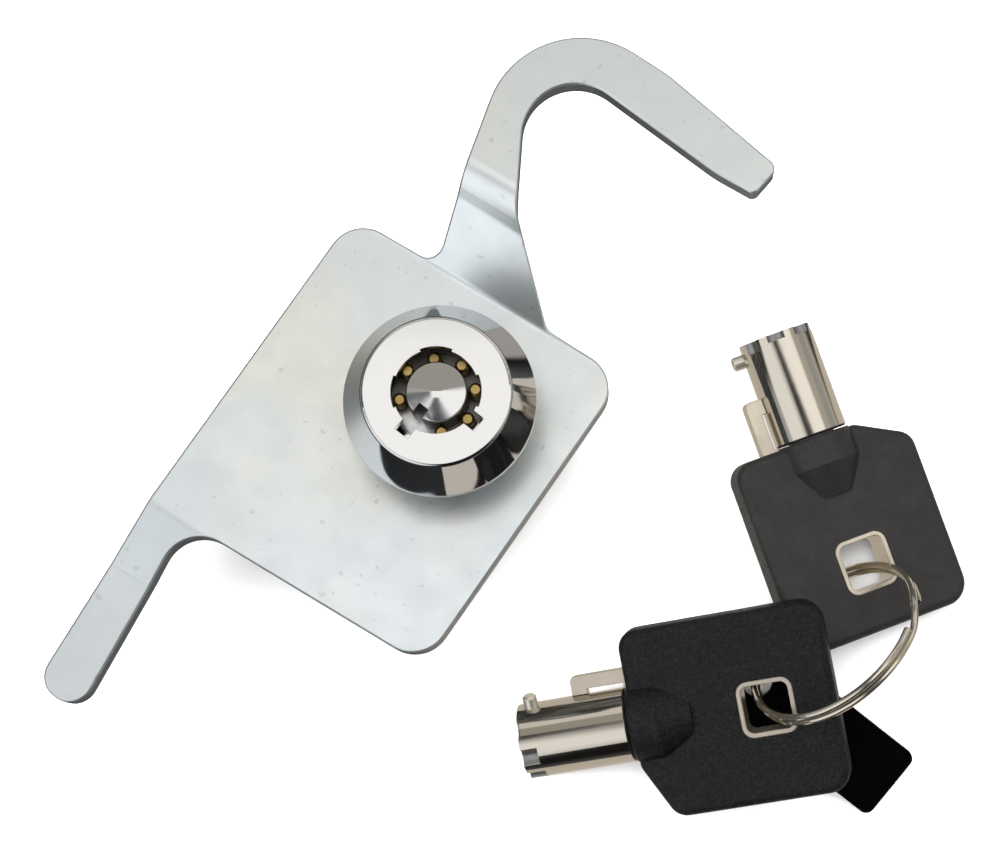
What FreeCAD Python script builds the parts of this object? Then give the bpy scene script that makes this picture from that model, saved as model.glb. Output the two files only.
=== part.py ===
import FreeCAD, Part
import math
import os

V = FreeCAD.Vector
Z = V(0, 0, 1)

# All lengths are in millimetres. The origin is on the lock's axis, in the plane of the
# head's underside, which seats on the trunk wall. Z points out of the face, Y up the front.

# Housing
HEAD_R = 11.5
FACE_R = 8.825
HEAD_H = 6.5
HEAD_EDGE = 0.45
RIM_H = 0.7
BODY_R = 8.5
BODY_FLAT = 15.8
BODY_L = 9.9
MOUTH_R = 5.0
RELIEF_R = 5.3
RELIEF_HALF = 21.0
RELIEF_AT = (0.0, 90.0, 180.0)
LIP_T = 1.2
NOTCH_W = 1.9
NOTCH_R = 6.4
KEY_AT = 231.2
TURN = 90.0
GROOVE_Z = 2.0
GROOVE_R = 6.4
THROAT_R = 5.45
FLANGE_FACE = 1.0
BORE_R = 6.3

# Plug, its spindle and the pins
PLUG_R = 6.2
POST_R = 3.6
POST_NOTCH = 1.4
POST_EDGE = 0.15
POST_CONE = 0.5
SHEAR_Z = -3.0
SPINDLE_R = 3.0
SPINDLE_FLAT = 4.6
SPINDLE_OUT = 18.1
SPINDLE_END = -BODY_L - SPINDLE_OUT
PIN_PCD_R = 4.5
PIN_R = 0.825
PIN_HOLE_R = 0.85
PIN_EDGE = 0.28
PIN_AT = (276.2, 321.2, 6.2, 51.2, 96.2, 141.2, 186.2)
PIN_TOP = (4.3, 3.7, 4.7, 4.0, 3.4, 4.5, 3.9)
DRIVER_L = 2.0
SPRING_L = 2.56
SPRING_R = 0.72
SPRING_BORE_R = 0.42
BLOCK_R = 6.25
BLOCK_IN = 1.3
BLOCK_END = BLOCK_IN - BODY_L
GAP = 0.02
CROSS_R = 0.75
CROSS_IN = 2.4
CROSS_Z = CROSS_IN - BODY_L

# Stop washer behind the pin block
STOP_IN = 1.2
STOP_Z = STOP_IN - BODY_L
STOP_T = 1.1
STOP_R = 5.9
LUG_R = 7.4
LUG_HALF = 14.0
LUG_AT = 186.2
LUG_PLAY = 2.0

# Hook plate
PLATE_GAP = 0.1
PLATE_Z = -BODY_L - PLATE_GAP
PLATE_T = 3.0
HOOK_RISE = 7.0
HOOK_Z = PLATE_Z + HOOK_RISE
EDGE_ROLL = 0.2
BEND_AT = -32.0
EDGE_UR = (90.0 + BEND_AT, 15.33)
EDGE_UL = (145.1, 24.22)
EDGE_LL = (238.8, 27.42)
EDGE_LR = (325.2, 15.25)
CORNER = 4.5
RAMP_ROOT = 15.3
RAMP_TOP = 25.8
CREASE = -27.9
STEEP_L = 2.6
STEEP_H = 2.7
TAIL_ROOT_DOWN = 10.0
TAIL_ROOT_L = 9.0
TAIL_DOWN = 3.0
BEND_IN = 2.0
BEND_OUT = BEND_IN + PLATE_T
FAR = 62.0
HOOK_LINE = [
    (12.36, 10.62, 2.5), (8.9, 24.1, 6.0), (10.5, 45.9, 6.5), (33.0, 28.3, 15.0), (37.73, 25.48, 0.9),
    (40.69, 28.88, 1.3), (27.45, 40.84, 20.0), (10.85, 52.25, 11.7), (-1.22, 18.99, 2.0),
]
TAIL_LINE = [(-36.4, -9.85, 10.0), (-50.3, -32.0, 2.9), (-45.3, -36.2, 3.0), (-31.95, -12.72, 5.1)]

# Behind the plate
WASHER_R = 6.0
WASHER_T = 1.6
NUT_AF = 10.0
NUT_HEX = 6.0
NUT_L = 8.0
NUT_CROWN = 0.45
COLLAR_WALL = 0.7
INSERT_LIP = 0.3
COLLAR_R = 4.6

# Ring nut on the body
RING_NUT_WALL = 1.5
RING_NUT_SLOT_W = 2.2
RING_NUT_SLOT_DEEP = 0.9
RING_NUT_FRONT = -3.0
RING_NUT_T = 3.0

# Keys, in a frame of their own: X from the barrel's tip to the head, Y to the tab
BARREL_R = 4.65
BARREL_BORE = 3.75
BARREL_L = 13.6
BARREL_FLOOR = 1.8
BARREL_DEEP = BARREL_L - BARREL_FLOOR
BARREL_TURN = 18.0
TANG_R = 3.0
TANG_L = 3.7
TANG_END = BARREL_L + TANG_L
TANG_STEP = 0.4
CUTTER_R = 1.3
CUTTER_AT = 5.2
CUTS = (0.3, 2.1, 2.3, 0.9, 1.0, 0.9, 1.5)
LUG_X = 1.85
INDEX_R = 0.9
INDEX_OUT = 6.2
INDEX_NOSE_R = 0.6
INDEX_IN = 2.6
INSERT_T = 1.4
TAB_FROM = 6.6
TAB_FOOT = 2.0
TAB_ARM = 1.75
TAB_OUT = 2.4
TAB_LIP = 0.35
INSERT_SIDE = -3.6
INSERT_L = 13.9
INSERT_END = BARREL_L + INSERT_L
TAB_ROUND = 0.7
KEY_HEAD_T = 4.6
HEAD_OFF = 0.3
HEAD_X0 = BARREL_L + HEAD_OFF
HEAD_L = 25.3
HEAD_X1 = HEAD_X0 + HEAD_L
HEAD_Y0 = -12.1
HEAD_Y1 = 11.65
HEAD_ROUND = 1.0
CUT_X = 3.4
CUT_Y = 6.8
BOSS_OFF = 0.15
BOSS_L = 3.65
BOSS_CONE_L = 4.0
BOSS_X0 = BARREL_L + BOSS_OFF
BOSS_X1 = BOSS_X0 + BOSS_L
BOSS_X2 = BOSS_X1 + BOSS_CONE_L
BOSS_R1 = 5.0
BOSS_R2 = 3.0
WINDOW_IN = 16.75
WINDOW_X = HEAD_X0 + WINDOW_IN
WINDOW_Y = -0.4
LINER_W = 7.0
LINER_WALL = 0.6
LINER_ROUND = 1.5
LINER_H = 4.3

# Ring and tag
RING_R = 11.80
WIRE_R = 0.43
WIRE_FLATS = 12
STRAND_GAP = 0.06
CROSSING = 25.0
TAG_W = 9.6
TAG_L = 21.3
TAG_BACK = 3.6
TAG_T = 1.0
TAG_HOLE_R = 1.9
TAG_ROUND = 1.1

# Places on the table: position of the frame's origin, then turn about Z, rise and roll
KEY_A_AT = (40.55, 11.43, -18.35, -70.44, -7.31, -12.80)
KEY_B_AT = (9.12, -38.89, -23.31, 8.58, 9.96, 11.78)
TAG_AT = (37.93, -31.44, -23.44, -37.96, -8.18, 11.73)
RING_AT = (47.20, -27.23, -17.57)
RING_NORMAL = (-0.600, 0.569, 0.562)


def cylinder(r, z0, z1, x=0.0, y=0.0):
    return Part.makeCylinder(r, z1 - z0, V(x, y, z0))


def tube(ro, ri, z0, z1):
    return cylinder(ro, z0, z1).cut(cylinder(ri, z0 - 1, z1 + 1))


def block(x0, x1, y0, y1, z0, z1):
    return Part.makeBox(x1 - x0, y1 - y0, z1 - z0, V(x0, y0, z0))


def polar(r, deg, z=0.0):
    a = math.radians(deg)
    return V(r * math.cos(a), r * math.sin(a), z)


def turned(shape, deg):
    s = shape.copy()
    s.rotate(V(0, 0, 0), Z, deg)
    return s


def polygon(points):
    wire = Part.makePolygon([V(*p) for p in points] + [V(*points[0])])
    return Part.Face(wire)


def revolved(profile, axis=Z):
    return polygon(profile).revolve(V(0, 0, 0), axis, 360)


def sector(r, half, at, z0, z1):
    a = polar(2 * r, at - half, z0)
    b = polar(2 * r, at + half, z0)
    c = polar(2 * r, at, z0)
    wedge = Part.Face(Part.makePolygon([V(0, 0, z0), a, c, b, V(0, 0, z0)]))
    return wedge.extrude(V(0, 0, z1 - z0)).common(cylinder(r, z0, z1))


def between_flats(af, r, z0, z1):
    return block(-2 * r, 2 * r, -af / 2, af / 2, z0, z1).common(cylinder(r, z0, z1))


def rounded_face(corners, z=0.0):
    # Each corner is (x, y, radius). Neighbouring corners are joined by lines and tangent arcs.
    n = len(corners)
    cut = []
    for i in range(n):
        p = V(corners[i][0], corners[i][1], z)
        q0 = corners[i - 1]
        q1 = corners[(i + 1) % n]
        a = (V(q0[0], q0[1], z) - p).normalize()
        b = (V(q1[0], q1[1], z) - p).normalize()
        half = a.getAngle(b) / 2
        r = corners[i][2]
        t = r / math.tan(half)
        mid = (a + b).normalize()
        m = p + mid * (r / math.sin(half) - r)
        cut.append((p + a * t, m, p + b * t))
    edges = []
    for i in range(n):
        s, m, e = cut[i]
        if corners[i][2] > 0:
            edges.append(Part.Arc(s, m, e).toShape())
        nxt = cut[(i + 1) % n][0]
        if e.distanceToPoint(nxt) > 1e-6:
            edges.append(Part.makeLine(e, nxt))
    return Part.Face(Part.Wire(edges))


def placed(shape, at, over=False):
    # Turn about Z, then rise about the turned Y, then roll about the frame's own X.
    x, y, z, yaw, rise, roll = at
    s = shape.copy()
    if over:
        roll = roll + 180.0
    s.rotate(V(0, 0, 0), V(1, 0, 0), roll)
    s.rotate(V(0, 0, 0), V(0, 1, 0), -rise)
    s.rotate(V(0, 0, 0), Z, yaw)
    s.translate(V(x, y, z))
    return s


def line_corner(l0, l1):
    # Corner of two edges, each given as (direction of its outward normal, distance).
    a, d = math.radians(l0[0]), l0[1]
    b, e = math.radians(l1[0]), l1[1]
    det = math.sin(b - a)
    x = (d * math.sin(b) - e * math.sin(a)) / det
    y = (e * math.cos(a) - d * math.cos(b)) / det
    return x, y


def save(name, shape):
    if len(shape.Solids) != 1:
        raise ValueError(name + " has " + str(len(shape.Solids)) + " solids")
    if not shape.isValid():
        raise ValueError(name + " is not valid")
    solid = shape.Solids[0]
    solid.exportStep("parts/" + name + ".step")
    print(name, round(solid.Volume, 3))


def fillet_where(shape, r, test):
    edges = [e for e in shape.Edges if test(e)]
    return shape.makeFillet(r, edges)


os.makedirs("parts", exist_ok=True)

# Lock housing
profile = [
    (0, 0, -BODY_L), (BODY_R, 0, -BODY_L), (BODY_R, 0, 0), (HEAD_R, 0, 0),
    (HEAD_R, 0, RIM_H), (FACE_R, 0, HEAD_H), (0, 0, HEAD_H),
]
housing = revolved(profile)


def head_rim(e):
    b = e.BoundBox
    flat = b.ZLength < 1e-6
    at_rim = abs(b.ZMax - HEAD_H) < 1e-6 or abs(b.ZMax - RIM_H) < 1e-6
    return flat and at_rim and b.XLength > 2 * FACE_R - 0.1


housing = fillet_where(housing, HEAD_EDGE, head_rim)
sides = turned(between_flats(BODY_FLAT, BODY_R + 1, -BODY_L - 1, 0), KEY_AT)
keep = sides.fuse(cylinder(HEAD_R + 1, 0, HEAD_H + 1))
housing = housing.common(keep)
housing = housing.cut(cylinder(MOUTH_R, GROOVE_Z, HEAD_H + 1))
housing = housing.cut(cylinder(GROOVE_R, GROOVE_Z, HEAD_H - LIP_T))
housing = housing.cut(cylinder(THROAT_R, FLANGE_FACE - 1, GROOVE_Z + 1))
housing = housing.cut(cylinder(BORE_R, -BODY_L - 1, FLANGE_FACE))
for at in RELIEF_AT:
    housing = housing.cut(sector(RELIEF_R, RELIEF_HALF, at, HEAD_H - LIP_T - 1, HEAD_H + 1))
for at in (KEY_AT, KEY_AT + TURN):
    slot = block(0, NOTCH_R, -NOTCH_W / 2, NOTCH_W / 2, HEAD_H - LIP_T - 1, HEAD_H + 1)
    housing = housing.cut(turned(slot, at))
pocket_half = TURN / 2 + LUG_HALF + LUG_PLAY
pocket_at = LUG_AT + TURN / 2
pocket = sector(LUG_R + 0.1, pocket_half, pocket_at, -BODY_L - 1, STOP_Z + 0.1)
housing = housing.cut(pocket)
cross = Part.makeCylinder(CROSS_R, BODY_R, V(PIN_PCD_R - 0.4, 0, CROSS_Z), V(1, 0, 0))
cross = turned(cross, KEY_AT)
cross_pin = turned(Part.makeCylinder(CROSS_R, BODY_FLAT / 2 - PIN_PCD_R, V(PIN_PCD_R - 0.4, 0, CROSS_Z),
                                     V(1, 0, 0)), KEY_AT)
housing = housing.cut(cross)
save("lock_housing", housing)

# Pin block, the drivers' guide
pin_block = tube(BLOCK_R, SPINDLE_R + 0.05, BLOCK_END, SHEAR_Z - GAP)
for at in PIN_AT:
    p = polar(PIN_PCD_R, at)
    bottom = SHEAR_Z - DRIVER_L - SPRING_L - 2 * GAP
    pin_block = pin_block.cut(cylinder(PIN_HOLE_R, bottom, SHEAR_Z, p.x, p.y))
pin_block = pin_block.cut(cross)
save("pin_block", pin_block)
save("block_pin", cross_pin)

# Plug with its post, flange and spindle
post_rim = HEAD_H - POST_CONE
post = revolved([(0, 0, FLANGE_FACE - 1), (POST_R, 0, FLANGE_FACE - 1), (POST_R, 0, post_rim - POST_EDGE),
                 (POST_R - POST_EDGE, 0, post_rim), (0, 0, HEAD_H)])
plug = cylinder(PLUG_R, SHEAR_Z, FLANGE_FACE).fuse(post)
shaft = Part.makeCylinder(SPINDLE_R, SHEAR_Z - SPINDLE_END + 1, V(0, 0, SPINDLE_END))
shaft = shaft.makeChamfer(0.5, [e for e in shaft.Edges if abs(e.BoundBox.ZMax - SPINDLE_END) < 1e-6])
flats = turned(block(-10, 10, -SPINDLE_FLAT / 2, SPINDLE_FLAT / 2, SPINDLE_END - 1, STOP_Z), BEND_AT)
shaft = shaft.common(flats.fuse(cylinder(SPINDLE_R + 1, STOP_Z, FLANGE_FACE)))
plug = plug.fuse(shaft)
key_notch = block(POST_R - POST_NOTCH, POST_R + 1, -POST_NOTCH / 2, POST_NOTCH / 2, FLANGE_FACE, HEAD_H + 1)
plug = plug.cut(turned(key_notch, KEY_AT))
for at in PIN_AT:
    p = polar(PIN_PCD_R, at)
    plug = plug.cut(cylinder(PIN_HOLE_R, SHEAR_Z - 0.001, FLANGE_FACE + 1, p.x, p.y))
plug = plug.removeSplitter()
save("lock_plug", plug)

# Seven key pins, drivers and springs
for i, at in enumerate(PIN_AT):
    p = polar(PIN_PCD_R, at)
    k = str(i + 1)
    pin = cylinder(PIN_R, SHEAR_Z + GAP, PIN_TOP[i], p.x, p.y)
    top = PIN_TOP[i]
    pin = pin.makeChamfer(PIN_EDGE, [e for e in pin.Edges if abs(e.BoundBox.ZMin - top) < 1e-6])
    save("key_pin_" + k, pin)
    front = SHEAR_Z - GAP
    save("driver_pin_" + k, cylinder(PIN_R, front - DRIVER_L, front - 0.001, p.x, p.y))
    low = front - DRIVER_L - SPRING_L
    coil = cylinder(SPRING_R, low, low + SPRING_L, p.x, p.y)
    coil = coil.cut(cylinder(SPRING_BORE_R, low - 1, low + SPRING_L + 1, p.x, p.y))
    save("pin_spring_" + k, coil)

# Stop washer on the spindle's flats
hole = turned(between_flats(SPINDLE_FLAT + 2 * GAP, SPINDLE_R + GAP, SPINDLE_END, 0), BEND_AT)
stop = cylinder(STOP_R, STOP_Z - STOP_T, STOP_Z)
stop = stop.fuse(sector(LUG_R, LUG_HALF, LUG_AT, STOP_Z - STOP_T, STOP_Z)).removeSplitter()
save("stop_washer", stop.cut(hole))

# Hook plate: the outline seen from the front, then the bent sheet seen from its edge
outline = [
    (*line_corner(EDGE_UR, EDGE_LR), CORNER), *HOOK_LINE,
    (*line_corner(EDGE_UR, EDGE_UL), CORNER), *TAIL_LINE,
    (*line_corner(EDGE_LL, EDGE_LR), CORNER),
]
prism = rounded_face(outline, -FAR).extrude(V(0, 0, 2 * FAR))

bend_z = PLATE_Z - TAIL_ROOT_L * math.tan(math.radians(TAIL_ROOT_DOWN))
far_z = bend_z - (FAR + CREASE - TAIL_ROOT_L) * math.tan(math.radians(TAIL_DOWN))
front = [
    (-FAR, far_z), (CREASE - TAIL_ROOT_L, bend_z), (CREASE, PLATE_Z), (RAMP_ROOT, PLATE_Z),
    (RAMP_TOP - STEEP_L, HOOK_Z - STEEP_H), (RAMP_TOP, HOOK_Z), (FAR, HOOK_Z),
]
front_radii = [0.0, BEND_IN, BEND_OUT, BEND_IN, BEND_IN, BEND_OUT, 0.0]


def behind(points, t):
    # The same line moved square to itself by the sheet's thickness.
    moved = []
    for i, p in enumerate(points):
        a = points[max(i - 1, 0)]
        b = points[min(i + 1, len(points) - 1)]
        before = math.atan2(p[1] - a[1], p[0] - a[0]) if i > 0 else None
        after = math.atan2(b[1] - p[1], b[0] - p[0]) if i < len(points) - 1 else before
        before = after if before is None else before
        mid = (before + after) / 2
        far = t / math.cos((after - before) / 2)
        moved.append((p[0] + math.sin(mid) * far, p[1] - math.cos(mid) * far))
    return moved


rear = behind(front, PLATE_T)
rear.reverse()
rear_radii = [BEND_IN + BEND_OUT - r if r > 0 else 0.0 for r in reversed(front_radii)]
radii = front_radii + rear_radii


def bent_sheet():
    corners = [(p[0], p[1], r) for p, r in zip(front + rear, radii)]
    sheet = rounded_face(corners, -FAR).extrude(V(0, 0, 2 * FAR))
    sheet.rotate(V(0, 0, 0), V(1, 0, 0), 90)
    sheet.rotate(V(0, 0, 0), Z, BEND_AT + 90.0)
    return sheet


plate = prism.common(bent_sheet()).Solids[0]


def front_rim(e):
    # An edge between the sheet's front and its side wall, and not a bend line.
    up = []
    for f in plate.ancestorsOfType(e, Part.Face):
        u0, u1, v0, v1 = f.ParameterRange
        up.append(f.normalAt((u0 + u1) / 2, (v0 + v1) / 2).z)
    return max(up) > 0.5 and min(abs(q) for q in up) < 0.1


plate = plate.makeChamfer(EDGE_ROLL, [e for e in plate.Edges if front_rim(e)])
plate = plate.cut(hole)
save("hook_plate", plate)

# Washer and locking nut behind the plate
rear_z = PLATE_Z - PLATE_T
washer = tube(WASHER_R, SPINDLE_R + 0.1, rear_z - WASHER_T, rear_z)
washer = washer.makeChamfer(0.2, [e for e in washer.Edges if e.BoundBox.XLength > 2 * WASHER_R - 0.1
                                  and e.BoundBox.ZLength < 1e-6 and e.BoundBox.ZMin < rear_z - 1])
save("spindle_washer", washer)
nut_front = rear_z - WASHER_T
corners = [polar(NUT_AF / math.sqrt(3), 60.0 * k + 15.0, nut_front - NUT_HEX) for k in range(6)]
hexagon = Part.Face(Part.makePolygon(corners + [corners[0]])).extrude(V(0, 0, NUT_HEX))
cap = NUT_AF / math.sqrt(3)
crown = revolved([(0, 0, nut_front - NUT_HEX), (NUT_AF / 2, 0, nut_front - NUT_HEX),
                  (cap, 0, nut_front - NUT_HEX + NUT_CROWN), (cap, 0, nut_front), (0, 0, nut_front)])
nut = hexagon.common(crown)
nut = nut.fuse(cylinder(COLLAR_R, nut_front - NUT_L, nut_front - NUT_HEX + 1)).removeSplitter()
nut = nut.cut(cylinder(SPINDLE_R + 0.01, nut_front - NUT_L - 1, nut_front + 1))
seat_r = COLLAR_R - COLLAR_WALL
seat_from = nut_front - NUT_L + INSERT_LIP
seat_to = nut_front - NUT_HEX - 0.1
nut = nut.cut(cylinder(seat_r, seat_from, seat_to))
save("spindle_nut", nut)
save("nut_insert", tube(seat_r, SPINDLE_R + 0.01, seat_from, seat_to))

# Ring nut on the body, with four spanner slots
nut_r = BODY_R + RING_NUT_WALL
ring_nut = tube(nut_r, BODY_R + GAP, RING_NUT_FRONT - RING_NUT_T, RING_NUT_FRONT)
half_slot = RING_NUT_SLOT_W / 2
for k in range(4):
    gap = block(nut_r - RING_NUT_SLOT_DEEP, nut_r + 1, -half_slot, half_slot,
                RING_NUT_FRONT - RING_NUT_T - 1, RING_NUT_FRONT + 1)
    ring_nut = ring_nut.cut(turned(gap, KEY_AT + 45.0 + 90.0 * k))
save("ring_nut", ring_nut)

# One key, lying in its own frame
X = V(1, 0, 0)
barrel = Part.makeCylinder(BARREL_R, BARREL_L, V(0, 0, 0), X)
barrel = barrel.makeChamfer(0.25, [e for e in barrel.Edges if e.BoundBox.XMax > BARREL_L - 1e-6
                                   and e.BoundBox.XLength < 1e-6])
barrel = barrel.fuse(Part.makeCylinder(TANG_R, TANG_END - BARREL_L + 1, V(BARREL_L - 1, 0, 0), X))
barrel = barrel.cut(Part.makeCylinder(BARREL_BORE, BARREL_DEEP + 1, V(-1, 0, 0), X)).removeSplitter()
for k, deep in enumerate(CUTS):
    a = math.radians(45.0 * (k + 1))
    y = CUTTER_AT * math.cos(a)
    z = CUTTER_AT * math.sin(a)
    barrel = barrel.cut(Part.makeCylinder(CUTTER_R, deep + 1, V(-1, y, z), X))
index = Part.makeCylinder(INDEX_R, INDEX_OUT - BARREL_BORE, V(LUG_X, BARREL_BORE, 0), V(0, 1, 0))
index = index.makeChamfer(PIN_EDGE, [e for e in index.Edges if e.BoundBox.YMin > INDEX_OUT - 1e-6])
nose = Part.makeCylinder(INDEX_NOSE_R, BARREL_BORE - INDEX_IN + 0.5, V(LUG_X, INDEX_IN, 0), V(0, 1, 0))
index = index.fuse(nose)
index_pin = index.removeSplitter()
barrel = barrel.cut(Part.makeCylinder(INDEX_R, 10, V(LUG_X, 0, 0), V(0, 1, 0)))
barrel.rotate(V(0, 0, 0), X, BARREL_TURN)
index_pin.rotate(V(0, 0, 0), X, BARREL_TURN)
slot = block(BARREL_L + TANG_STEP, TANG_END + 1, -TANG_R - 1, TANG_R + 1, -INSERT_T / 2, INSERT_T / 2)
barrel = barrel.cut(slot)

half_t = INSERT_T / 2
tab_x = BARREL_L - TAB_FROM
tab_y = BARREL_R + TAB_OUT
tab = block(tab_x, tab_x + TAB_FOOT, BARREL_R + 0.01, tab_y, -half_t, half_t)
tab = tab.fuse(block(tab_x, HEAD_X0 + 1, tab_y - TAB_ARM, tab_y, -half_t, half_t))
tab = tab.fuse(block(HEAD_X0 - TAB_LIP, HEAD_X0 + 1, BARREL_R + 0.1, tab_y, -half_t, half_t))
tab = tab.fuse(block(BARREL_L + TANG_STEP, INSERT_END, INSERT_SIDE, tab_y, -half_t, half_t)).removeSplitter()


def tab_corner(e):
    b = e.BoundBox
    return b.ZLength > INSERT_T - 1e-6 and abs(b.XMin - tab_x) < 1e-6 and b.YMin > tab_y - 0.1


tab = fillet_where(tab, TAB_ROUND, tab_corner)


def square(w, r, h):
    a = w / 2
    c = [(-a, -a, r), (a, -a, r), (a, a, r), (-a, a, r)]
    c = [(x + WINDOW_X, y + WINDOW_Y, q) for x, y, q in c]
    return rounded_face(c, -h / 2).extrude(V(0, 0, h))


LINER_IN = LINER_W - 2 * LINER_WALL
opening = square(LINER_IN, LINER_ROUND - LINER_WALL, 20.0)
insert = tab.fuse(square(LINER_W, LINER_ROUND, LINER_H)).cut(opening).removeSplitter()

head_line = [
    (HEAD_X0, HEAD_Y1, 2.4), (HEAD_X0, HEAD_Y0 + CUT_Y, 2.0), (HEAD_X0 + CUT_X, HEAD_Y0, 2.4),
    (HEAD_X1, HEAD_Y0, 3.0), (HEAD_X1, HEAD_Y1, 3.0),
]
head = rounded_face(head_line, -KEY_HEAD_T / 2).extrude(V(0, 0, KEY_HEAD_T))


def face_edge(e):
    b = e.BoundBox
    return b.ZLength < 1e-6


head = fillet_where(head, HEAD_ROUND, face_edge)
boss = polygon([(BOSS_X0, 0, 0), (BOSS_X0, BOSS_R1, 0), (BOSS_X1, BOSS_R1, 0), (BOSS_X2, BOSS_R2, 0),
                (BOSS_X2, 0, 0)]).revolve(V(0, 0, 0), X, 360)
boss = boss.makeChamfer(PIN_EDGE, [e for e in boss.Edges if e.BoundBox.XLength < 1e-6
                              and abs(e.BoundBox.XMin - BOSS_X0) < 1e-6])
head = head.fuse(boss)
head = head.cut(square(LINER_W, LINER_ROUND, 20.0)).cut(insert).cut(barrel)
core = Part.makeCylinder(TANG_R + 0.02, TANG_END - BOSS_X0 + 0.03, V(BOSS_X0 - 0.01, 0, 0), X)
head = head.cut(core).removeSplitter()

for name, at, over in (("key_a", KEY_A_AT, True), ("key_b", KEY_B_AT, False)):
    save(name + "_barrel", placed(barrel, at, over))
    save(name + "_index_pin", placed(index_pin, at, over))
    save(name + "_insert", placed(insert, at, over))
    save(name + "_head", placed(head, at, over))


# Split ring: two flat turns side by side, joined by one crossing
def ring_path():
    side = WIRE_R + STRAND_GAP / 2
    c = math.radians(CROSSING / 2)
    n = 12

    def at(t):
        if t < 2 * math.pi - c:
            h = -side
        elif t > 2 * math.pi + c:
            h = side
        else:
            u = (t - 2 * math.pi) / c
            h = side * (1.5 * u - 0.5 * u ** 3)
        return V(RING_R * math.cos(t), RING_R * math.sin(t), h)

    edges = []
    for k in range(2):
        t0 = 2 * math.pi * k + c
        t1 = 2 * math.pi * (k + 1) - c
        step = (t1 - t0) / 4
        for j in range(4):
            a = t0 + step * j
            edges.append(Part.Arc(at(a), at(a + step / 2), at(a + step)).toShape())
        if k == 0:
            pts = [at(2 * math.pi - c + 2 * c * i / n) for i in range(n + 1)]
            curve = Part.BSplineCurve()
            first = V(-math.sin(-c), math.cos(-c), 0)
            last = V(-math.sin(c), math.cos(c), 0)
            curve.interpolate(Points=pts, InitialTangent=first, FinalTangent=last, Scale=False)
            edges.append(curve.toShape())
    return Part.Wire(edges), at(c)


def wire_section(middle):
    # Twelve flats round the wire keep the facets of this long thin tube few.
    out = V(middle.x, middle.y, 0).normalize()
    points = []
    for k in range(WIRE_FLATS):
        a = 2 * math.pi * (k + 0.5) / WIRE_FLATS
        r = WIRE_R / math.cos(math.pi / WIRE_FLATS)
        points.append(middle + out * (r * math.cos(a)) + Z * (r * math.sin(a)))
    return Part.makePolygon(points + [points[0]])


path, start = ring_path()
ring = path.makePipeShell([wire_section(start)], True, False)
normal = V(*RING_NORMAL).normalize()
ring_turn = FreeCAD.Rotation(Z, normal)
ring.Placement = FreeCAD.Placement(V(*RING_AT), ring_turn)
save("split_ring", ring)

# Tag on the ring
tag_line = [(-TAG_BACK, -TAG_W / 2, 2.4), (TAG_L, -TAG_W / 2, TAG_ROUND), (TAG_L, TAG_W / 2, TAG_ROUND),
            (-TAG_BACK, TAG_W / 2, 2.4)]
tag = rounded_face(tag_line, -TAG_T / 2).extrude(V(0, 0, TAG_T))
tag = tag.cut(cylinder(TAG_HOLE_R, -5, 5))
save("key_tag", placed(tag, TAG_AT))
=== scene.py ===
import math

import bpy
from mathutils import Matrix, Vector


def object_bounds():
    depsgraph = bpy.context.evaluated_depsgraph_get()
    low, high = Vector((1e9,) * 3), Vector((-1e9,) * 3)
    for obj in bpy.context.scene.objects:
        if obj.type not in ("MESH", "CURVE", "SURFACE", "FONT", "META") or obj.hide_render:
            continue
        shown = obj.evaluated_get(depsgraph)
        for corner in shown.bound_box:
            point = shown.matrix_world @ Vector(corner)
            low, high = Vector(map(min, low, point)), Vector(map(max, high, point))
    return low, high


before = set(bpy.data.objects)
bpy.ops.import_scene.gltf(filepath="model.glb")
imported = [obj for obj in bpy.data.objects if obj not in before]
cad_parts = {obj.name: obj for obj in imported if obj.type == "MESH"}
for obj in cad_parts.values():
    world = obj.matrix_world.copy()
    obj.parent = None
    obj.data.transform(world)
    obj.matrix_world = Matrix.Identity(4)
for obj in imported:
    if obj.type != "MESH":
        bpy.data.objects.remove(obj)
bpy.context.scene.view_settings.view_transform = "Standard"
MM = 0.001
size_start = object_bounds()

# The surface that the lock and its keys lie on
TABLE_Z = size_start[0][2]

# Sizes and places of the solids that the materials follow, in metres and degrees
THREAD_PITCH = 1.0 * MM
BODY_R = 8.5 * MM
BODY_THREAD = (-9.8 * MM, -0.4 * MM)
SPINDLE_R = 3.0 * MM
SPINDLE_THREAD = (TABLE_Z, -13.0 * MM)
BARREL_R = 4.65 * MM
BARREL_A_TIP = (0.04055, 0.01143, -0.01835)
BARREL_A_YAW = -70.44
BARREL_A_RISE = -7.31
BARREL_B_TIP = (0.00912, -0.03889, -0.02331)
BARREL_B_YAW = 8.58
BARREL_B_RISE = 9.96
# Where the painted shade in the keyway is lighter, by the notch that the key goes in at
NOTCH_SHADE_AT = (-0.0034, -0.0042, 0.001)
NOTCH_SHADE_R = 1.4 * MM
KEYWAY_SHADE_FROM = 4.2 * MM

CHROME = (0.66, 0.66, 0.655)
# Painted shade in the keyway, and the lighter painted shade round its notch
KEYWAY_SHADE = (0.30, 0.29, 0.27)
NOTCH_SHADE_DARK = (0.44, 0.44, 0.45)
NOTCH_SHADE_LIGHT = (0.64, 0.64, 0.64)
ZINC_BLUISH = (0.76, 0.815, 0.835)
ZINC_YELLOWISH = (0.82, 0.825, 0.765)
ZINC_GREY = (0.64, 0.70, 0.735)
ZINC_PIT = (0.42, 0.45, 0.47)
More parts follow.
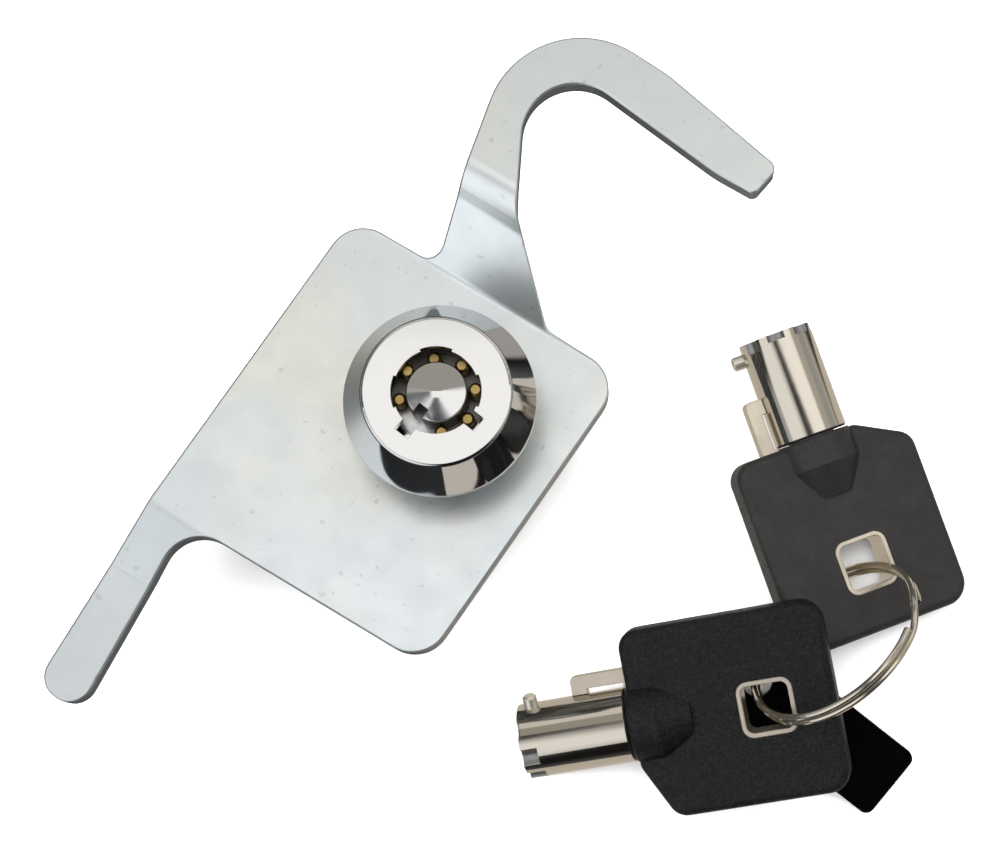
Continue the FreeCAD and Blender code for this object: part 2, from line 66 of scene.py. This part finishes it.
# Upright zinc faces: their sheared finish, darkened further by painted shade
SHEARED_AND_SHADE_DARK = (0.20, 0.205, 0.205)
SHEARED_AND_SHADE_LIGHT = (0.34, 0.345, 0.345)
NICKEL = (0.62, 0.575, 0.50)
STAMPED_NICKEL = (0.56, 0.505, 0.42)
WIRE_NICKEL = (0.62, 0.565, 0.48)
CUT_DARK = (0.25, 0.25, 0.25)
CUT_LIGHT = (0.52, 0.52, 0.51)
STEEL = (0.62, 0.63, 0.65)
SPRING_STEEL = (0.55, 0.56, 0.58)
BRASS = (0.55, 0.40, 0.15)
NYLON = (0.75, 0.78, 0.82)
SMOOTH_BLACK = (0.009, 0.0085, 0.0085)
GRAINED_BLACK = (0.002, 0.002, 0.0021)
TAG_BLACK = (0.0006, 0.0006, 0.0006)


class Mat:
    # A material whose nodes are made by short calls. Their arguments may be numbers, colours or
    # the outputs of other nodes.
    def __init__(self, name):
        self.mat = bpy.data.materials.new(name)
        self.mat.use_nodes = True
        self.tree = self.mat.node_tree
        self.shader = self.tree.nodes["Principled BSDF"]
        coords = self.new("ShaderNodeTexCoord")
        self.place = coords.outputs["Object"]
        self.facing = coords.outputs["Normal"]

    def new(self, kind, **props):
        node = self.tree.nodes.new(kind)
        for key, value in props.items():
            setattr(node, key, value)
        return node

    def put(self, socket, value):
        if isinstance(value, bpy.types.NodeSocket):
            self.tree.links.new(value, socket)
        elif hasattr(value, "__len__") and len(value) == 3 and len(socket.default_value) == 4:
            socket.default_value = (*value, 1.0)
        else:
            socket.default_value = value

    def set(self, **inputs):
        for key, value in inputs.items():
            self.put(self.shader.inputs[key.replace("_", " ")], value)

    def math(self, operation, a, b=0.0):
        node = self.new("ShaderNodeMath", operation=operation)
        self.put(node.inputs[0], a)
        self.put(node.inputs[1], b)
        return node.outputs[0]

    def vector(self, operation, a, b):
        node = self.new("ShaderNodeVectorMath", operation=operation)
        self.put(node.inputs[0], a)
        self.put(node.inputs[1], b)
        return node

    def dot(self, a, b):
        return self.vector("DOT_PRODUCT", a, b).outputs["Value"]

    def away_from(self, point):
        return self.vector("SUBTRACT", self.place, point).outputs[0]

    def noise(self, scale, detail=3.0, rough=0.5, distort=0.0):
        node = self.new("ShaderNodeTexNoise")
        self.put(node.inputs["Vector"], self.place)
        self.put(node.inputs["Scale"], scale)
        self.put(node.inputs["Detail"], detail)
        self.put(node.inputs["Roughness"], rough)
        self.put(node.inputs["Distortion"], distort)
        return node.outputs["Fac"]

    def remap(self, value, a, b, c, d, smooth=False):
        # Turns a to b into c to d.
        node = self.new("ShaderNodeMapRange")
        if smooth:
            node.interpolation_type = "SMOOTHSTEP"
        for i, x in enumerate((value, a, b, c, d)):
            self.put(node.inputs[i], x)
        return node.outputs[0]

    def mix(self, amount, a, b):
        node = self.new("ShaderNodeMix", data_type="RGBA")
        self.put(node.inputs[0], amount)
        self.put(node.inputs[6], a)
        self.put(node.inputs[7], b)
        return node.outputs[2]

    def bump(self, height, strength, distance, edge):
        # Bumps over edges that are rounded in the shading by the radius given.
        rounded = self.new("ShaderNodeBevel", samples=6)
        self.put(rounded.inputs["Radius"], edge)
        node = self.new("ShaderNodeBump")
        self.put(node.inputs["Strength"], strength)
        self.put(node.inputs["Distance"], distance)
        self.put(node.inputs["Height"], height)
        self.put(node.inputs["Normal"], rounded.outputs[0])
        return node.outputs[0]


def compass(azimuth, elevation):
    # The direction at these angles: azimuth from X toward Y, elevation up from their plane.
    a = math.radians(azimuth)
    e = math.radians(elevation)
    return Vector((math.cos(a) * math.cos(e), math.sin(a) * math.cos(e), math.sin(e)))


def tone(color, shade):
    return tuple(q * shade for q in color)


def uneven(m, rough):
    # A roughness that wanders a little round its mean, as on a plated or rolled surface.
    return m.remap(m.noise(260.0, 3.0, 0.5), 0.3, 0.7, rough * 0.8, rough * 1.25)


def zinc(name, shade):
    # Satin zinc: faint bluish and yellowish clouds, a fine mottle and small dark pits. Faces that
    # stand upright, the sheet's sheared sides, are duller, and darker partly for their sheared
    # finish and partly by painted shade on every upright face.
    m = Mat(name)
    clouds = m.remap(m.noise(42.0, 2.0, 0.5), 0.45, 0.66, 0.0, 1.0, smooth=True)
    c = m.mix(clouds, tone(ZINC_BLUISH, shade), tone(ZINC_YELLOWISH, shade))
    mottle = m.noise(260.0, 4.0, 0.55, distort=0.3)
    c = m.mix(m.remap(mottle, 0.36, 0.66, 0.0, 0.3), c, tone(ZINC_GREY, shade))
    pits = m.remap(m.noise(900.0, 1.0, 0.4), 0.7, 0.78, 0.0, 0.4)
    c = m.mix(pits, c, ZINC_PIT)
    upright = m.remap(m.math("ABSOLUTE", m.dot(m.facing, (0, 0, 1))), 0.1, 0.5, 1.0, 0.0)
    # Upright faces darker, partly their sheared finish and partly painted shade
    c = m.mix(upright, c, m.mix(mottle, SHEARED_AND_SHADE_DARK, SHEARED_AND_SHADE_LIGHT))
    satin = m.remap(mottle, 0.3, 0.7, 0.29, 0.33)
    rough = m.math("ADD", satin, m.math("MULTIPLY", upright, 0.15))
    m.set(Base_Color=c, Metallic=0.95, Roughness=rough)
    m.set(Normal=m.bump(m.noise(700.0, 2.0, 0.5), 0.07, 0.06 * MM, 0.2 * MM))
    return m.mat


def bright_metal(name, color, rough, edge=0.08 * MM, metallic=1.0):
    m = Mat(name)
    m.set(Base_Color=color, Metallic=metallic, Roughness=uneven(m, rough))
    m.set(Normal=m.bump(m.noise(900.0, 2.0, 0.4), 0.04, 0.03 * MM, edge))
    return m.mat


def machined_key(name, color, rough, tip, yaw, rise, outer):
    # Plated outside, with greyer cut faces wherever it lies deeper than the plated surface. The
    # depth is the distance from the barrel's axis, through its tip in the direction given.
    m = Mat(name)
    away = m.away_from(tip)
    along = m.dot(away, compass(yaw, rise))
    square = m.math("SUBTRACT", m.dot(away, away), m.math("MULTIPLY", along, along))
    cut = m.remap(m.math("SQRT", square), outer - 0.1 * MM, outer - 0.02 * MM, 1.0, 0.0)
    grain = m.noise(1400.0, 3.0, 0.6)
    c = m.mix(cut, color, m.mix(grain, CUT_DARK, CUT_LIGHT))
    duller = m.math("ADD", uneven(m, rough), m.math("MULTIPLY", cut, 0.3))
    m.set(Base_Color=c, Metallic=1.0, Roughness=duller)
    scratches = m.math("MULTIPLY", grain, m.math("ADD", cut, 0.1))
    m.set(Normal=m.bump(scratches, 0.3, 0.05 * MM, 0.06 * MM))
    return m.mat


def threaded(name, rough, outer, thread, shade_r, shade_z):
    # Chrome with a turned thread, a saw of bumps along Z between two heights at the outer radius.
    # Within the shade radius and below the shade height the keyway gets painted shade and is
    # duller, except round the notch that the key goes in by, where the painted shade is lighter.
    m = Mat(name)
    low, high = thread
    split = m.new("ShaderNodeSeparateXYZ")
    m.put(split.inputs[0], m.place)
    x, y, z = split.outputs
    r = m.math("SQRT", m.math("ADD", m.math("MULTIPLY", x, x), m.math("MULTIPLY", y, y)))
    turn = m.math("MULTIPLY", m.math("ARCTAN2", y, x), THREAD_PITCH / (2 * math.pi))
    saw = m.math("PINGPONG", m.math("ADD", z, turn), THREAD_PITCH / 2)
    band = m.math("MULTIPLY", m.math("GREATER_THAN", z, low), m.math("LESS_THAN", z, high))
    band = m.math("MULTIPLY", band, m.math("GREATER_THAN", r, outer * 0.985))
    band = m.math("MULTIPLY", band, m.math("LESS_THAN", r, outer * 1.01))
    # Painted shade: the keyway within the shade radius and below the shade height
    deep = m.math("MULTIPLY", m.math("LESS_THAN", r, shade_r), m.math("LESS_THAN", z, shade_z))
    # The painted shade is lighter round the notch and full further off
    away = m.away_from(NOTCH_SHADE_AT)
    distance = m.math("SQRT", m.dot(away, away))
    full_shade = m.remap(distance, NOTCH_SHADE_R, KEYWAY_SHADE_FROM, 0.0, 1.0, smooth=True)
    lighter_shade = m.mix(m.noise(1600.0, 2.0, 0.5), NOTCH_SHADE_DARK, NOTCH_SHADE_LIGHT)
    m.set(Base_Color=m.mix(deep, CHROME, m.mix(full_shade, lighter_shade, KEYWAY_SHADE)), Metallic=1.0)
    plain = m.remap(m.noise(300.0, 2.0, 0.5), 0.3, 0.7, rough * 0.8, rough * 1.3)
    duller = m.math("MULTIPLY", deep, m.remap(full_shade, 0.0, 1.0, 0.12, 0.35))
    m.set(Roughness=m.math("ADD", plain, duller))
    m.set(Normal=m.bump(m.math("MULTIPLY", saw, band), 1.0, 1.0, 0.08 * MM))
    return m.mat


def plastic(name, color, grain, rough, specular):
    # Moulded plastic with the fine leather grain of its mould, and pale specks on the grain.
    m = Mat(name)
    fine = m.noise(3400.0, 3.0, 0.6)
    cell = m.noise(1500.0, 2.0, 0.5)
    worn = m.remap(m.noise(300.0, 4.0, 0.6), 0.4, 0.75, 0.0, 0.5)
    c = m.mix(worn, color, tone(color, 1.7))
    specks = m.remap(m.noise(4200.0, 2.0, 0.6), 0.45, 0.72, 0.0, grain * 0.6)
    c = m.mix(specks, c, tone(color, 1.0 + 7.0 * grain))
    m.set(Base_Color=c, Roughness=m.remap(cell, 0.3, 0.7, rough - 0.06, rough + 0.08))
    m.set(Specular_IOR_Level=specular)
    height = m.math("ADD", m.math("MULTIPLY", fine, 0.7), cell)
    m.set(Normal=m.bump(height, grain, 0.12 * MM, 0.1 * MM))
    return m.mat


def plain_plastic(name, color, rough):
    m = Mat(name)
    m.set(Base_Color=m.mix(m.noise(500.0), color, tone(color, 0.9)), Roughness=rough)
    return m.mat


# The materials, and the piece that each one is for
zinc_nut = zinc("zinc nut", 0.95)
steel = bright_metal("washer steel", STEEL, 0.3)
brass = bright_metal("brass", BRASS, 0.32)
spring_wire = bright_metal("spring wire", SPRING_STEEL, 0.3)
nickel_pin = bright_metal("nickel pin", NICKEL, 0.3, edge=0.2 * MM, metallic=0.85)
stamped = bright_metal("stamped nickel", STAMPED_NICKEL, 0.3, edge=0.22 * MM, metallic=0.93)
LOOK = {
    "lock_housing": threaded("chrome housing", 0.05, BODY_R, BODY_THREAD, 5.6 * MM, 6.2 * MM),
    "lock_plug": threaded("chrome plug", 0.06, SPINDLE_R, SPINDLE_THREAD, 6.4 * MM, 5.8 * MM),
    "hook_plate": zinc("zinc plate", 0.99),
    "ring_nut": zinc_nut,
    "spindle_nut": zinc_nut,
    "spindle_washer": steel,
    "stop_washer": steel,
    "block_pin": steel,
    "pin_block": brass,
    "nut_insert": plain_plastic("nylon", NYLON, 0.4),
    "split_ring": bright_metal("ring wire", WIRE_NICKEL, 0.14, edge=0.05 * MM, metallic=0.97),
    "key_tag": plastic("black tag", TAG_BLACK, 0.08, 0.3, 0.03),
    "key_a_head": plastic("black plastic, smooth side", SMOOTH_BLACK, 0.3, 0.46, 0.33),
    "key_b_head": plastic("black plastic, grained side", GRAINED_BLACK, 0.9, 0.46, 0.22),
    "key_a_barrel": machined_key(
        "barrel a", NICKEL, 0.1, BARREL_A_TIP, BARREL_A_YAW, BARREL_A_RISE, BARREL_R),
    "key_b_barrel": machined_key(
        "barrel b", NICKEL, 0.1, BARREL_B_TIP, BARREL_B_YAW, BARREL_B_RISE, BARREL_R),
}
for key in ("a", "b"):
    LOOK["key_%s_index_pin" % key] = nickel_pin
    LOOK["key_%s_insert" % key] = stamped
for i in range(1, 8):
    LOOK["key_pin_%d" % i] = brass
    LOOK["driver_pin_%d" % i] = brass
    LOOK["pin_spring_%d" % i] = spring_wire
for name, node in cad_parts.items():
    node.data.materials.clear()
    node.data.materials.append(LOOK[name])


def square(name, size, place, material):
    bpy.ops.mesh.primitive_plane_add(size=size, location=place)
    plane = bpy.context.object
    plane.name = name
    plane.data.materials.append(material)
    return plane


# The pale floor. The polished metal mirrors the studio below the horizon in its stead.
floor_mat = Mat("floor")
floor_tone = floor_mat.mix(floor_mat.noise(3.0), (0.9, 0.9, 0.9), (0.91, 0.91, 0.91))
floor_mat.set(Base_Color=floor_tone, Roughness=0.9)
floor = square("floor", 4.0, (0, 0, TABLE_Z), floor_mat.mat)
floor.visible_glossy = False

# A glowing card under the keys, just below the floor, which only their metal picks up: painted
# light, seen in the metal as a reflection
card_mat = Mat("card")
card_tone = card_mat.mix(card_mat.noise(3.0), (0.5, 0.5, 0.5), (0.55, 0.55, 0.55))
# The card glows though no lamp lights it: painted light for the keys' reflections
card_mat.set(Base_Color=card_tone, Emission_Color=(0.58, 0.53, 0.46), Emission_Strength=1.0)
card = square("glowing card", 0.09, (0.046, -0.026, TABLE_Z - 0.5 * MM), card_mat.mat)
card.visible_diffuse = False
card.visible_shadow = False

# Camera, fitted to the lock's circles and the keys
CAMERA_AT = Vector((22.66, -54.67, 294.21)) * MM
TILT_X = 0.052
TILT_Y = -0.172
LENS = 91.15
back = Vector((TILT_X, TILT_Y, math.sqrt(1 - TILT_X ** 2 - TILT_Y ** 2)))
up = Vector((0, 1, 0))
up = (up - back * up.dot(back)).normalized()
right = up.cross(back)
cam_data = bpy.data.cameras.new("camera")
cam_data.sensor_width = 36.0
cam_data.lens = LENS
cam_data.clip_start = 0.01
cam = bpy.data.objects.new("camera", cam_data)
bpy.context.scene.collection.objects.link(cam)
axes = Matrix((right, up, back)).transposed().to_4x4()
cam.matrix_world = Matrix.Translation(CAMERA_AT) @ axes
bpy.context.scene.camera = cam

# Studio seen in the metal: soft boxes overhead, panels round them, dark between
world = bpy.data.worlds.new("studio")
bpy.context.scene.world = world
world.use_nodes = True
sky = world.node_tree
sky_dir = sky.nodes.new("ShaderNodeTexCoord").outputs["Generated"]


def sky_fade(value, gone, full):
    # Rises softly from 0, where the value is gone, to 1, where it is full.
    node = sky.nodes.new("ShaderNodeMapRange")
    node.interpolation_type = "SMOOTHSTEP"
    sky.links.new(value, node.inputs[0])
    node.inputs[1].default_value = gone
    node.inputs[2].default_value = full
    return node.outputs[0]


def sky_cover(below, amount, color):
    # Lays a colour, by an amount, over what is below it.
    node = sky.nodes.new("ShaderNodeMix")
    node.data_type = "RGBA"
    sky.links.new(amount, node.inputs[0])
    if isinstance(below, tuple):
        node.inputs[6].default_value = (*below, 1.0)
    else:
        sky.links.new(below, node.inputs[6])
    node.inputs[7].default_value = (*color, 1.0)
    return node.outputs[2]


def panel(below, azimuth, elevation, full, gone, color):
    # A soft-edged round panel, full out to one angle from its middle and gone at another.
    dot = sky.nodes.new("ShaderNodeVectorMath")
    dot.operation = "DOT_PRODUCT"
    sky.links.new(sky_dir, dot.inputs[0])
    dot.inputs[1].default_value = compass(azimuth, elevation)
    near = math.cos(math.radians(full))
    far = math.cos(math.radians(gone))
    return sky_cover(below, sky_fade(dot.outputs["Value"], far, near), color)


def band(below, limits, color):
    # A soft-edged band. Each limit names an axis and the two angles, up from the plane square to
    # that axis, where the band is gone and where it is full.
    split = sky.nodes.new("ShaderNodeSeparateXYZ")
    sky.links.new(sky_dir, split.inputs[0])
    amount = None
    for axis, gone, full in limits:
        low = math.sin(math.radians(gone))
        high = math.sin(math.radians(full))
        part = sky_fade(split.outputs[axis], low, high)
        if amount is None:
            amount = part
        else:
            both = sky.nodes.new("ShaderNodeMath")
            both.operation = "MULTIPLY"
            sky.links.new(amount, both.inputs[0])
            sky.links.new(part, both.inputs[1])
            amount = both.outputs[0]
    return sky_cover(below, amount, color)


DARK = (0.06, 0.065, 0.07)
# Azimuth, elevation, the angle out to which the panel is full, the angle where it is gone, colour
PANELS = [
    (0, -90, 40, 80, (0.012, 0.012, 0.014)),
    (0, -90, 24, 40, (0.24, 0.25, 0.24)),
    (97, -53, 12, 18, (0.17, 0.19, 0.20)),
    (180, 30, 20, 60, (0.06, 0.067, 0.075)),
    (100, 35, 20, 50, (0.065, 0.07, 0.078)),
    (20, 30, 30, 50, (0.56, 0.53, 0.47)),
    (-90, 35, 34, 44, (0.012, 0.012, 0.012)),
    (8, -36, 8, 24, (0.12, 0.125, 0.13)),
    (62, -38, 14, 18, (0.42, 0.40, 0.38)),
    (-34, -33, 14, 19, (0.5, 0.49, 0.48)),
    (-148, 62, 9, 15, (0.5, 0.5, 0.5)),
    (-138, 37, 24, 37, (1.12, 1.12, 1.13)),
]
OVERHEAD = (("X", -36, -24), ("Z", 40, 50))
# A belt low round the horizon, a grey strip and a pale one overhead, and the main soft box
BANDS = [
    ((("Z", 1, 5), ("Z", 27, 23), ("Y", -35, -15)), (0.42, 0.43, 0.44)),
    ((("Y", 8.5, 11.5), ("Y", 30.5, 27.5), *OVERHEAD), (0.43, 0.41, 0.365)),
    ((("Y", 27, 33), ("Y", 57, 51), ("X", -36, -24), ("Z", 15, 25)), (0.85, 0.83, 0.79)),
    ((("Y", -6.5, -3.0), ("Y", 14.5, 11.5), ("X", -24, -10), ("Z", 40, 50)), (1.31, 1.29, 1.27)),
]
view = DARK
for azimuth, elevation, full, gone, color in PANELS:
    view = panel(view, azimuth, elevation, full, gone, color)
for limits, color in BANDS:
    view = band(view, limits, color)
sky.links.new(view, sky.nodes["Background"].inputs["Color"])


def lamp(name, place, size, power):
    # A large soft lamp for the matt surfaces alone, aimed at the middle of the layout.
    data = bpy.data.lights.new(name, "AREA")
    data.shape = "DISK"
    data.size = size
    data.energy = power
    holder = bpy.data.objects.new(name, data)
    bpy.context.scene.collection.objects.link(holder)
    holder.location = place
    holder.rotation_euler = (-Vector(place)).to_track_quat("-Z", "Y").to_euler()
    holder.visible_glossy = False


lamp("top lamp", (-0.1, 0.25, 1.0), 1.2, 26.0)
lamp("left lamp", (-0.9, -0.3, 0.7), 0.8, 8.0)
lamp("right lamp", (0.9, 0.1, 0.7), 0.8, 8.0)
